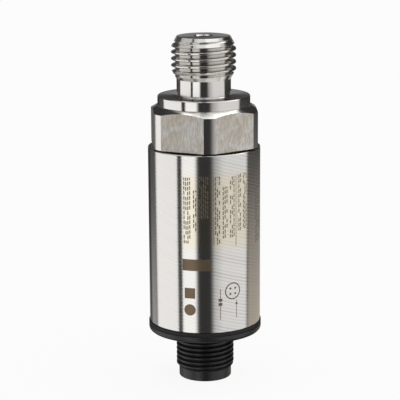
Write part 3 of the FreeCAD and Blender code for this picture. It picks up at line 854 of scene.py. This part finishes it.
def sleeve_finish(name, colours, radius):
    """Turned sleeve with brown laser marks and the warm tint round them."""
    finish = turned_finish(
        name, colours.steel, pitch=0.7 * MM, starts=32, depth=0.24, relief=0.013 * MM, roughness=0.16
    )
    arc = times(finish.azimuth, radius / MM)
    height = over(finish.height, MM)
    mark = mark_mask(arc, height)
    edge = (TINT_HALF - TINT_INSIDE, TINT_HALF + TINT_OUTSIDE)
    sides = [fall(apart(value, middle), edge) for value, middle in zip((arc, height), TINT_MIDDLE)]
    warm = blend(times(*sides, TINT_STRENGTH), finish.tone, rgba(colours.heat))
    finish.shade(
        Base_Color=blend(mark, warm, rgba(colours.mark)),
        Roughness=calc("MULTIPLY_ADD", mark, 0.28, finish.rough),
        Metallic=calc("MULTIPLY_ADD", mark, -0.5, 1.0),
    )
    return finish


def moulded_finish(name, base, size, rough, relief, contrast=0.25, **constants):
    """Moulded, ground or rubber skin with a soft cloud of tone and a fine grain of that size."""
    finish = Finish(name, **constants)
    marks = grain(finish.place, size)
    finish.tone = blend(remap(marks["Cloud"], *NOISE_SPAN), rgba(base, 1 - contrast), rgba(base))
    finish.rough = remap(marks["Grain"], *NOISE_SPAN, *rough)
    finish.shade(Base_Color=finish.tone, Roughness=finish.rough, Normal=bump(marks["Grain"], relief))
    return finish


def capped_finish(name, base, axis, first, pitch, half_body):
    """Small electronic part: a moulded or glazed body with tinned metal at its ends."""
    tin = bpy.context.scene.switch_colours.tin
    finish = moulded_finish(name, base, size=0.15 * MM, rough=(0.35, 0.55), relief=0.003 * MM)
    along = parts_of(finish.place)[axis]
    inputs = {"Along": along, "First": first, "Pitch": pitch, "Half Body": half_body}
    metal = effect(finish.tree, "Metal ends", inputs)["Metal"]
    finish.shade(
        Base_Color=blend(metal, finish.tone, rgba(tin)),
        Metallic=metal,
        Roughness=calc("MULTIPLY_ADD", metal, -0.12, finish.rough),
    )
    return finish


def tracked_finish(name, ground, track, axis, spacing, share, metallic):
    """Film or board with straight tracks along it."""
    finish = moulded_finish(name, ground, size=0.3 * MM, rough=(0.28, 0.42), relief=0.001 * MM)
    wave = calc("FRACT", over(parts_of(finish.place)[axis], spacing))
    line = calc("COMPARE", wave, 0.5, share / 2)
    finish.shade(Base_Color=blend(line, finish.tone, rgba(track)))
    if metallic:
        finish.shade(Metallic=line)
    return finish


def dress(node_name, material):
    """Give a solid that stays in view its finish."""
    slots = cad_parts[node_name].material_slots
    if not slots:
        raise RuntimeError(f"{node_name} has no material slot")
    for slot in slots:
        slot.material = material


# Operators


class SWITCH_OT_process_connection(bpy.types.Operator):
    """Build the turned steel piece with its threaded stud and hex"""

    bl_idname = "switch.process_connection"
    bl_label = "Process connection"

    def execute(self, context):
        sizes = context.scene.switch_connection
        colours = context.scene.switch_colours
        edge = math.acos(sizes.hex_flat / sizes.hex_corner)
        sixth = math.pi / 6
        first_corner = sizes.hex_turn - math.pi / 2

        def swing_of(turn):
            """Angle from the middle of the nearest flat."""
            return (turn - first_corner) % (2 * sixth) - sixth

        def hex_radius(turn):
            """Flat or turned corner."""
            swing = swing_of(turn)
            return sizes.hex_flat / math.cos(swing) if abs(swing) < edge else sizes.hex_corner

        def hex_upper(turn):
            radius = hex_radius(turn)
            return radius, sizes.hex_top - (radius - sizes.hex_face) * math.tan(sizes.hex_chamfer)

        def hex_lower(turn):
            return hex_radius(turn), sizes.hex_bottom

        corner_span = (edge - sixth, sixth - edge, CORNER_COLUMNS)
        flat_span = (sixth - edge, sixth + edge, FLAT_COLUMNS)
        angles = []
        for corner in range(6):
            for start, end, columns in (corner_span, flat_span):
                for column in range(columns):
                    swing = start + (end - start) * column / columns
                    angles.append(first_corner + corner * 2 * sixth + swing)
        stud_end = stud_high.z
        outside = eased([
            (sizes.bore_radius + sizes.bore_chamfer, stud_end, 0),
            (sizes.thread_radius - sizes.end_inset, stud_end, STUD_EASE),
            (sizes.thread_radius, stud_end - sizes.end_taper, 0),
            (sizes.thread_radius, sizes.neck_top + sizes.thread_runout, 0),
            (sizes.neck_radius, sizes.neck_top, 0),
            (sizes.neck_radius, sizes.neck_bottom, sizes.neck_fillet),
            (sizes.collar_radius - sizes.collar_chamfer, sizes.neck_bottom, EDGE_EASE),
            (sizes.collar_radius, sizes.neck_bottom - sizes.collar_chamfer, EDGE_EASE),
            (sizes.collar_radius, sizes.hex_top, 0),
        ])
        root = sizes.thread_radius - sizes.thread_depth
        outside = finely(outside, sizes.neck_top, stud_end, root, PORT_THREAD_STEP)
        inside = [
            (sizes.shoulder_radius, sizes.hex_bottom),
            (sizes.shoulder_radius, sleeve_high.z),
            (sizes.weld_radius, sleeve_high.z),
            (sizes.weld_radius, stud_low.z),
            (sizes.pocket_radius + sizes.pocket_chamfer, stud_low.z),
            (sizes.pocket_radius, stud_low.z + sizes.pocket_chamfer),
            (sizes.pocket_radius, sizes.groove_bottom),
            (sizes.groove_radius, sizes.groove_bottom),
            (sizes.groove_radius, sizes.groove_top),
            (sizes.pocket_radius, sizes.groove_top),
            (sizes.pocket_radius, sizes.pocket_roof),
            (sizes.seal_outer, sizes.pocket_roof),
            (sizes.seal_outer, sizes.seal_top),
            (sizes.seal_inner, sizes.seal_top),
            (sizes.seal_inner, sizes.pocket_roof),
            (sizes.bore_radius, sizes.pocket_roof),
            (sizes.bore_radius, stud_end - sizes.bore_chamfer),
        ]
        hex_rows = [(sizes.hex_face, sizes.hex_top), hex_upper, hex_lower]
        side_row = len(outside) + 1
        # The relief row under the hex takes the seam colour, which paints the shade in that gap
        seam_shade_row = len(outside) + len(hex_rows)

        def finish_of(row, turn):
            if row == seam_shade_row:
                return "seam"
            flat = abs(swing_of(turn + 1e-4)) < edge
            return "milled" if row == side_row and flat else None

        blank = turned_mesh("process_connection_blank", outside + hex_rows + inside, angles, finish_of)
        blank.set_sharp_from_angle(angle=STUD_SHARP)
        turned = turned_finish(
            "turned_steel",
            colours.steel,
            pitch=0.12 * MM,
            starts=1,
            depth=0.06,
            relief=0.0005 * MM,
            roughness=0.14,
        )
        milled = milled_finish("milled_steel", colours.milled)
        # Weld oxide darkened as painted shade of the relief under the hex
        seam = moulded_finish(
            "weld_seam_shade",
            colours.seam,
            size=0.1 * MM,
            rough=(0.45, 0.6),
            relief=0.002 * MM,
            contrast=0.4,
            Metallic=0.6,
        )
        mesh = threaded(
            "process_connection_blank",
            blank,
            sizes,
            (sizes.neck_top, stud_end + MM),
            PORT_THREAD_FORM,
            (turned.material, milled.material, seam.material),
        )
        hand_over(piece_of("turned_process_connection", mesh), "process_connection")
        return {"FINISHED"}


class SWITCH_OT_housing_sleeve(bpy.types.Operator):
    """Build the turned steel sleeve with its laser marks"""

    bl_idname = "switch.housing_sleeve"
    bl_label = "Housing sleeve"

    def execute(self, context):
        sizes = context.scene.switch_sleeve
        radius = sleeve_high.x
        rise = sizes.groove_radius - sizes.bore_radius
        outline = eased([
            (sizes.bore_radius, sleeve_low.z, EDGE_EASE),
            (radius - sizes.edge_chamfer, sleeve_low.z, EDGE_EASE),
            (radius, sleeve_low.z + sizes.edge_chamfer, EDGE_EASE),
            (radius, sleeve_high.z - sizes.edge_chamfer, EDGE_EASE),
            (radius - sizes.edge_chamfer, sleeve_high.z, EDGE_EASE),
            (sizes.bore_radius, sleeve_high.z, EDGE_EASE),
            (sizes.bore_radius, sizes.groove_top, 0),
            (sizes.groove_radius, sizes.groove_top - rise, 0),
            (sizes.groove_radius, sizes.groove_bottom, 0),
            (sizes.bore_radius, sizes.groove_bottom, 0),
        ])
        mesh = turned_mesh("turned_sleeve", outline, even_angles(SLEEVE_COLUMNS))
        mesh.set_sharp_from_angle(angle=SHARP)
        mesh.materials.append(sleeve_finish("sleeve_steel", context.scene.switch_colours, radius).material)
        hand_over(piece_of("turned_sleeve", mesh), "housing_sleeve")
        return {"FINISHED"}


class SWITCH_OT_flange_gasket(bpy.types.Operator):
    """Build the rubber ring between the sleeve and the flange"""

    bl_idname = "switch.flange_gasket"
    bl_label = "Flange gasket"

    def execute(self, context):
        sizes = context.scene.switch_sleeve
        radius = gasket_high.x
        outline = eased([
            (sizes.gasket_bore, gasket_low.z, 0),
            (radius, gasket_low.z, sizes.gasket_rounding),
            (radius, gasket_high.z, sizes.gasket_rounding),
            (sizes.gasket_bore, gasket_high.z, 0),
        ])
        mesh = turned_mesh("rubber_gasket", outline, even_angles(GASKET_COLUMNS))
        mesh.set_sharp_from_angle(angle=SHARP)
        rubber = context.scene.switch_colours.rubber
        finish = moulded_finish(
            "black_rubber", rubber, size=0.12 * MM, rough=(0.55, 0.75), relief=0.002 * MM
        )
        mesh.materials.append(finish.material)
        hand_over(piece_of("rubber_gasket", mesh), "flange_gasket")
        return {"FINISHED"}


class SWITCH_OT_connector_body(bpy.types.Operator):
    """Build the moulded connector with its threaded shroud and snap fingers"""

    bl_idname = "switch.connector_body"
    bl_label = "Connector body"

    def execute(self, context):
        sizes = context.scene.switch_connector
        flange_radius = connector_high.x
        top = connector_high.z
        root = sizes.thread_radius - sizes.thread_depth
        lead = sizes.thread_radius - sizes.nose_radius
        outline = eased([
            (sizes.socket_radius, sizes.socket_chamfer, 0),
            (sizes.socket_radius + sizes.socket_chamfer, 0, EDGE_EASE),
            (sizes.nose_radius, 0, sizes.nose_rounding),
            (sizes.nose_radius, sizes.nose_length, 0),
            (sizes.thread_radius, sizes.nose_length + lead, 0),
            (sizes.thread_radius, sizes.thread_end, PLUG_EASE),
            (sizes.undercut_radius, sizes.thread_end, PLUG_EASE),
            (sizes.undercut_radius, sizes.flange_bottom, UNDERCUT_EASE),
            (flange_radius, sizes.flange_bottom, sizes.flange_fillet),
            (flange_radius, gasket_low.z, FLANGE_EASE),
            (sizes.spigot_radius, gasket_low.z, 0),
            (sizes.spigot_radius, sizes.bead_bottom, 0),
            (sizes.bead_radius, sizes.bead_bottom, 0),
            (sizes.bead_radius, sizes.bead_top - sizes.bead_radius + sizes.spigot_radius, 0),
            (sizes.spigot_radius, sizes.bead_top, 0),
            (sizes.spigot_radius, top, 0),
            (sizes.spigot_bore, top, 0),
            (sizes.spigot_bore, sizes.seat_top, 0),
            (sizes.seat_radius, sizes.seat_top, 0),
            (sizes.seat_radius, sizes.seat_bottom, 0),
            (sizes.socket_radius, sizes.seat_bottom, 0),
        ])
        outline = finely(outline, sizes.nose_length, sizes.thread_end, root, PLUG_THREAD_STEP)
        blank = turned_mesh("connector_blank", outline, even_angles(CONNECTOR_COLUMNS))
        plastic = moulded_finish(
            "black_plastic",
            context.scene.switch_colours.plastic,
            size=0.16 * MM,
            rough=(0.29, 0.42),
            relief=0.003 * MM,
        ).material
        key_outer = sizes.socket_radius + (sizes.nose_radius - sizes.socket_radius) / 2
        key_inner = sizes.socket_radius - sizes.key_height
        split = grown(
            "connector_split",
            blank,
            "Snap fingers",
            {
                "Slots": sizes.finger_slots,
                "Slot Width": sizes.slot_width,
                "Slot Floor": sizes.slot_floor,
                "Slot Reach": sizes.bead_radius + MM,
                "Slot Height": top - sizes.slot_floor + MM,
                "Key Width": sizes.key_width,
                "Key Depth": key_outer - key_inner,
                "Key Length": insert_low.z - sizes.key_recess,
                "Key Place": (key_outer + key_inner) / 2,
                "Key Middle": (insert_low.z + sizes.key_recess) / 2,
                "Finish": plastic,
            },
        )
        split.set_sharp_from_angle(angle=SHARP)
        mesh = threaded(
            "connector_threaded",
            split,
            sizes,
            (sizes.nose_length, sizes.thread_end),
            PLUG_THREAD_FORM,
            (plastic, plastic, plastic),
        )
        hand_over(piece_of("moulded_connector", mesh), "connector_body")
        return {"FINISHED"}


class SWITCH_OT_contacts(bpy.types.Operator):
    """Finish the contact insert and its four pins"""

    bl_idname = "switch.contacts"
    bl_label = "Contacts"

    def execute(self, context):
        colours = context.scene.switch_colours
        insert = moulded_finish(
            "insert_plastic", colours.plastic, size=0.14 * MM, rough=(0.45, 0.62), relief=0.003 * MM
        )
        dress("contact_insert", insert.material)
        gold = turned_finish(
            "contact_gold",
            colours.gold,
            pitch=0.06 * MM,
            starts=1,
            depth=0.10,
            relief=0.0004 * MM,
            roughness=0.20,
        )
        for number in range(1, 5):
            dress(f"contact_pin_{number}", gold.material)
        return {"FINISHED"}


class SWITCH_OT_cell(bpy.types.Operator):
    """Finish the ceramic cell, its seal and what holds it"""

    bl_idname = "switch.cell"
    bl_label = "Pressure cell"

    def execute(self, context):
        colours = context.scene.switch_colours
        ceramic = moulded_finish(
            "white_ceramic",
            colours.ceramic,
            size=0.10 * MM,
            rough=(0.30, 0.48),
            relief=0.001 * MM,
            contrast=0.06,
        )
        grey = moulded_finish(
            "grey_plastic", colours.grey, size=0.18 * MM, rough=(0.42, 0.58), relief=0.003 * MM
        )
        spring = moulded_finish(
            "spring_steel",
            colours.spring,
            size=0.12 * MM,
            rough=(0.28, 0.45),
            relief=0.002 * MM,
            contrast=0.2,
            Metallic=1.0,
        )
        dress("pressure_cell", ceramic.material)
        dress("cell_seal", bpy.data.materials["black_rubber"])
        dress("thrust_ring", grey.material)
        dress("snap_ring", spring.material)
        dress("board_carrier", grey.material)
        return {"FINISHED"}


class SWITCH_OT_electronics(bpy.types.Operator):
    """Finish the flexible print, the circuit board and the parts on it"""

    bl_idname = "switch.electronics"
    bl_label = "Electronics"

    def execute(self, context):
        colours = context.scene.switch_colours
        film = tracked_finish(
            "amber_film", colours.film, colours.copper, "X", spacing=1.0 * MM, share=0.45, metallic=True
        )
        dress("cell_flex", film.material)
        pale = rgba(colours.resist, 1.7)
        board = tracked_finish(
            "board_green", colours.resist, pale, "Z", spacing=0.9 * MM, share=0.3, metallic=False
        )
        dress("circuit_board", board.material)
        # A lone part's next neighbour is further off than the board is long
        lone = 1.0
        capped = []
        for name, width in CHIP_BODIES.items():
            capped.append((name, colours.chip, "X", 0.0, lone, width / 2 * MM))
        for name in ("voltage_regulator", "output_transistors"):
            low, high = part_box(name)
            capped.append((name, colours.chip, "Z", (low.z + high.z) / 2, lone, PACKAGE_HALF_BODY * MM))
        # Height of one part in millimetres, and how many stand above each other
        rows = (
            ("surge_diodes", colours.chip, 4.4, 1),
            ("board_capacitors", colours.capacitor, 2.0, 3),
            ("board_resistors", colours.resistor, 1.6, 4),
        )
        for name, base, height, count in rows:
            low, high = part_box(name)
            first = low.z + height / 2 * MM
            pitch = (high.z - low.z - height * MM) / (count - 1) if count > 1 else lone
            capped.append((name, base, "Z", first, pitch, (height / 2 - END_CAP) * MM))
        for name, *values in capped:
            dress(name, capped_finish(f"{name}_finish", *values).material)
        return {"FINISHED"}


class SWITCH_OT_stage(bpy.types.Operator):
    """Set the camera, the floor and the light panels"""

    bl_idname = "switch.stage"
    bl_label = "Stage"

    def execute(self, context):
        scene = context.scene
        settings = scene.switch_studio
        scene.view_settings.view_transform = "Standard"
        place_camera(scene, settings)
        lay_floor(settings)
        light_room(scene, settings)
        return {"FINISHED"}


# Stage

SENSOR_WIDTH = 36
# How far the floor lies below the piece, and how much of its white hides the shadows on it
FLOOR_DROP = 0.01 * MM
FLOOR_WHITE = 0.92

# The studio by direction, in degrees: azimuth runs to the right from the camera's side, elevation up.
# A pair is a span over which something starts or ends; the panels are in the order of PANEL_SHAPE.
LEFT_PANEL = (-121.5, 8.0, -57.5, 1.0, -45.0, 10.0, -0.05)
STRIP_PANEL = (-47.5, 1.0, -21.0, 9.0, -60.0, 10.0, 0.0)
RIGHT_PANEL = (11.0, 12.0, 93.0, 9.0, -46.0, 22.0, 0.0)
RIGHT_PANEL_INNER = (17.0, 24.0, 93.0, 9.0, -46.0, 22.0, 0.0)
INNER_SHARE = 0.28
LEFT_TOP = (-1.0, 6.0)
LEFT_UPPER = (22.0, 30.0)
LEFT_UPPER_SHARE = 0.6
RIGHT_GROWTH = (5.0, 48.0)
RIGHT_SHARES = (0.45, 0.92)
RIGHT_DIP = ((9.0, 15.0), (30.0, 38.0))
RIGHT_DIP_DEPTH = 0.75
FRONT_CARD_SIDES = ((-45.0, -28.0), (75.0, 95.0))
FRONT_CARD_ENDS = ((30.0, 40.0), (60.0, 70.0))
FRONT_CARD_GROWTH = (2.0, 18.0)
FRONT_CARD_SHARES = (1.0, 1.35)
TABLE_END = (-12.6, -9.6)
TABLE_FOOT = (-30.0, -23.0)
TABLE_DEPTH = (-19.0, -10.5)
TABLE_SHARES = (1.0, 0.25)
TABLE_RIGHT = (98.0, 106.0)
FAR_LEFT_SIDES = ((-152.0, -140.0), (-125.0, -118.0))
FAR_LEFT_DEPTH = (-18.0, -11.5)
FAR_LEFT_SHARES = (1.5, 0.2)
BACK_LEFT = (-165.0, -150.0)
BACK_LEFT_END = (-19.0, -13.0)
BACK_STRIP = (135.0, 150.0)
BACK_STRIP_ENDS = ((-3.0, 3.0), (7.0, 9.5))
TOP_PANEL = (50.0, 57.0)
TOP_PANEL_TILT = 22.0
TOP_PANEL_FRONT = (-0.1, 0.25)
UNDERNEATH = (-72.0, -52.0)


def place_camera(scene, settings):
    """Camera in front, a little above, looking down along +Y."""
    forward = Vector((0, math.cos(settings.pitch), -math.sin(settings.pitch)))
    level_up = Vector((0, math.sin(settings.pitch), math.cos(settings.pitch)))
    across = Vector((1, 0, 0))
    right = across * math.cos(settings.roll) + level_up * math.sin(settings.roll)
    up = level_up * math.cos(settings.roll) - across * math.sin(settings.roll)
    eye = Vector((settings.target_x, 0, settings.target_z)) - forward * settings.distance
    camera = bpy.data.cameras.new("camera")
    camera.lens = settings.lens
    camera.sensor_width = SENSOR_WIDTH
    camera.clip_start = 10 * MM
    holder = bpy.data.objects.new("camera", camera)
    scene.collection.objects.link(holder)
    turn = Matrix((right, up, -forward)).transposed()
    holder.matrix_world = Matrix.Translation(eye) @ turn.to_4x4()
    scene.camera = holder


def plain_sight(tree):
    """One for camera and transmission rays, which see the white background."""
    rays = node(tree, "ShaderNodeLightPath").outputs
    return calc("MAXIMUM", rays["Is Camera Ray"], rays["Is Transmission Ray"])


def lay_floor(settings):
    """Pale floor that shows white to the camera and keeps a faint shadow."""
    half = settings.floor_size / 2
    mesh = bpy.data.meshes.new("floor")
    corners = [(-half, -half, 0), (half, -half, 0), (half, half, 0), (-half, half, 0)]
    mesh.from_pydata(corners, [], [(0, 1, 2, 3)])
    floor = piece_of("floor", mesh)
    floor.location.z = -FLOOR_DROP
    floor.visible_glossy = False
    material = bpy.data.materials.new("floor")
    material.use_nodes = True
    tree = material.node_tree
    tree.nodes.clear()
    matte = result(tree, "ShaderNodeBsdfDiffuse", {"Color": rgba(settings.floor_tone)})
    white = result(tree, "ShaderNodeEmission", {"Strength": 1.0})
    seen = times(plain_sight(tree), FLOOR_WHITE)
    mixed = result(tree, "ShaderNodeMixShader", {0: seen, 1: matte, 2: white})
    node(tree, "ShaderNodeOutputMaterial", {"Surface": mixed})
    mesh.materials.append(material)


def panel_light(azimuth, elevation, settings, on_table):
    """Light of the room and its side panels, the right ones brighter below the table's edge."""
    left_upper = remap(elevation, *LEFT_UPPER, 0.0, LEFT_UPPER_SHARE)
    left_shade = plus(fall(elevation, LEFT_TOP), left_upper)
    right_shade = calc("MAXIMUM", remap(azimuth, *RIGHT_GROWTH, *RIGHT_SHARES), on_table)
    dip = calc("MULTIPLY_ADD", window(elevation, *RIGHT_DIP), -RIGHT_DIP_DEPTH, 1.0)
    right_shade = times(right_shade, dip)
    panels = (
        (LEFT_PANEL, settings.left_panel, left_shade),
        (STRIP_PANEL, settings.strip_panel, left_shade),
        (RIGHT_PANEL, settings.right_panel * (1 - INNER_SHARE), right_shade),
        (RIGHT_PANEL_INNER, settings.right_panel * INNER_SHARE, right_shade),
    )
    total = settings.surround
    for shape, brightness, shade in panels:
        inputs = dict(zip(PANEL_SHAPE, shape))
        inputs.update({"Azimuth": azimuth, "Elevation": elevation, "Level": brightness})
        light = effect(azimuth.id_data, "Studio panel", inputs)["Light"]
        total = calc("MULTIPLY_ADD", light, shade, total)
    return total


def light_room(scene, settings):
    """White background for camera and transmission rays, and a studio for all other rays."""
    world = bpy.data.worlds.new("studio")
    scene.world = world
    world.use_nodes = True
    tree = world.node_tree
    tree.nodes.clear()
    direction = parts_of(node(tree, "ShaderNodeTexCoord").outputs["Generated"])
    azimuth = calc("DEGREES", calc("ARCTAN2", direction["X"], times(direction["Y"], -1.0)))
    elevation = calc("DEGREES", calc("ARCSINE", direction["Z"]))
    on_table = fall(elevation, TABLE_END)
    total = panel_light(azimuth, elevation, settings, on_table)

    card = times(window(azimuth, *FRONT_CARD_SIDES), remap(azimuth, *FRONT_CARD_GROWTH, *FRONT_CARD_SHARES))
    total = calc("MAXIMUM", total, times(card, window(elevation, *FRONT_CARD_ENDS)))

    nearer = remap(elevation, *TABLE_DEPTH, *TABLE_SHARES, smooth=False)
    lit_table = times(on_table, nearer, remap(elevation, *TABLE_FOOT))
    far_right = times(remap(azimuth, *TABLE_RIGHT), lit_table)
    total = calc("MULTIPLY_ADD", far_right, settings.table_light, total)

    left_rise = remap(elevation, *FAR_LEFT_DEPTH, *FAR_LEFT_SHARES, smooth=False)
    left_back = times(fall(azimuth, BACK_LEFT), fall(elevation, BACK_LEFT_END))
    far_left = plus(times(window(azimuth, *FAR_LEFT_SIDES), left_rise), left_back)
    total = calc("MULTIPLY_ADD", far_left, settings.far_light, total)

    behind = remap(calc("ABSOLUTE", azimuth), *BACK_STRIP)
    back_strip = times(behind, window(elevation, *BACK_STRIP_ENDS))
    total = calc("MULTIPLY_ADD", back_strip, settings.back_light, total)

    slanted = calc("MULTIPLY_ADD", direction["X"], TOP_PANEL_TILT, elevation)
    overhead = times(remap(slanted, *TOP_PANEL), remap(direction["Y"], *TOP_PANEL_FRONT))
    total = plus(times(total, minus(1.0, overhead)), times(overhead, settings.top_panel))
    total = calc("MULTIPLY_ADD", fall(elevation, UNDERNEATH), settings.under_light, total)

    seen = plain_sight(tree)
    unseen = minus(1.0, seen)
    strength = plus(times(total, unseen), seen)
    tone = blend(times(far_right, unseen), (1, 1, 1, 1), rgba(settings.table_tone))
    background = result(tree, "ShaderNodeBackground", {"Color": tone, "Strength": strength})
    node(tree, "ShaderNodeOutputWorld", {"Surface": background})


class SWITCH_PT_panel(bpy.types.Panel):
    """Builds the pressure switch piece by piece"""

    bl_idname = "SWITCH_PT_panel"
    bl_label = "Pressure switch"
    bl_space_type = "VIEW_3D"
    bl_region_type = "UI"
    bl_category = "Pressure switch"

    def draw(self, context):
        for operator in OPERATORS:
            self.layout.operator(operator.bl_idname)


GROUPS = {
    "switch_connection": ConnectionSizes,
    "switch_sleeve": SleeveSizes,
    "switch_connector": ConnectorSizes,
    "switch_colours": FinishColours,
    "switch_studio": StudioSettings,
}
OPERATORS = (
    SWITCH_OT_process_connection,
    SWITCH_OT_housing_sleeve,
    SWITCH_OT_flange_gasket,
    SWITCH_OT_connector_body,
    SWITCH_OT_contacts,
    SWITCH_OT_cell,
    SWITCH_OT_electronics,
    SWITCH_OT_stage,
)


def register():
    for group in GROUPS.values():
        bpy.utils.register_class(group)
    for operator in OPERATORS:
        bpy.utils.register_class(operator)
    bpy.utils.register_class(SWITCH_PT_panel)
    for name, group in GROUPS.items():
        setattr(bpy.types.Scene, name, PointerProperty(type=group))


def unregister():
    for name in GROUPS:
        delattr(bpy.types.Scene, name)
    bpy.utils.unregister_class(SWITCH_PT_panel)
    for operator in reversed(OPERATORS):
        bpy.utils.unregister_class(operator)
    for group in reversed(GROUPS.values()):
        bpy.utils.unregister_class(group)


def main():
    register()
    bpy.ops.switch.process_connection()
    bpy.ops.switch.housing_sleeve()
    bpy.ops.switch.flange_gasket()
    bpy.ops.switch.connector_body()
    bpy.ops.switch.contacts()
    bpy.ops.switch.cell()
    bpy.ops.switch.electronics()
    bpy.ops.switch.stage()


if __name__ == "__main__":
    main()
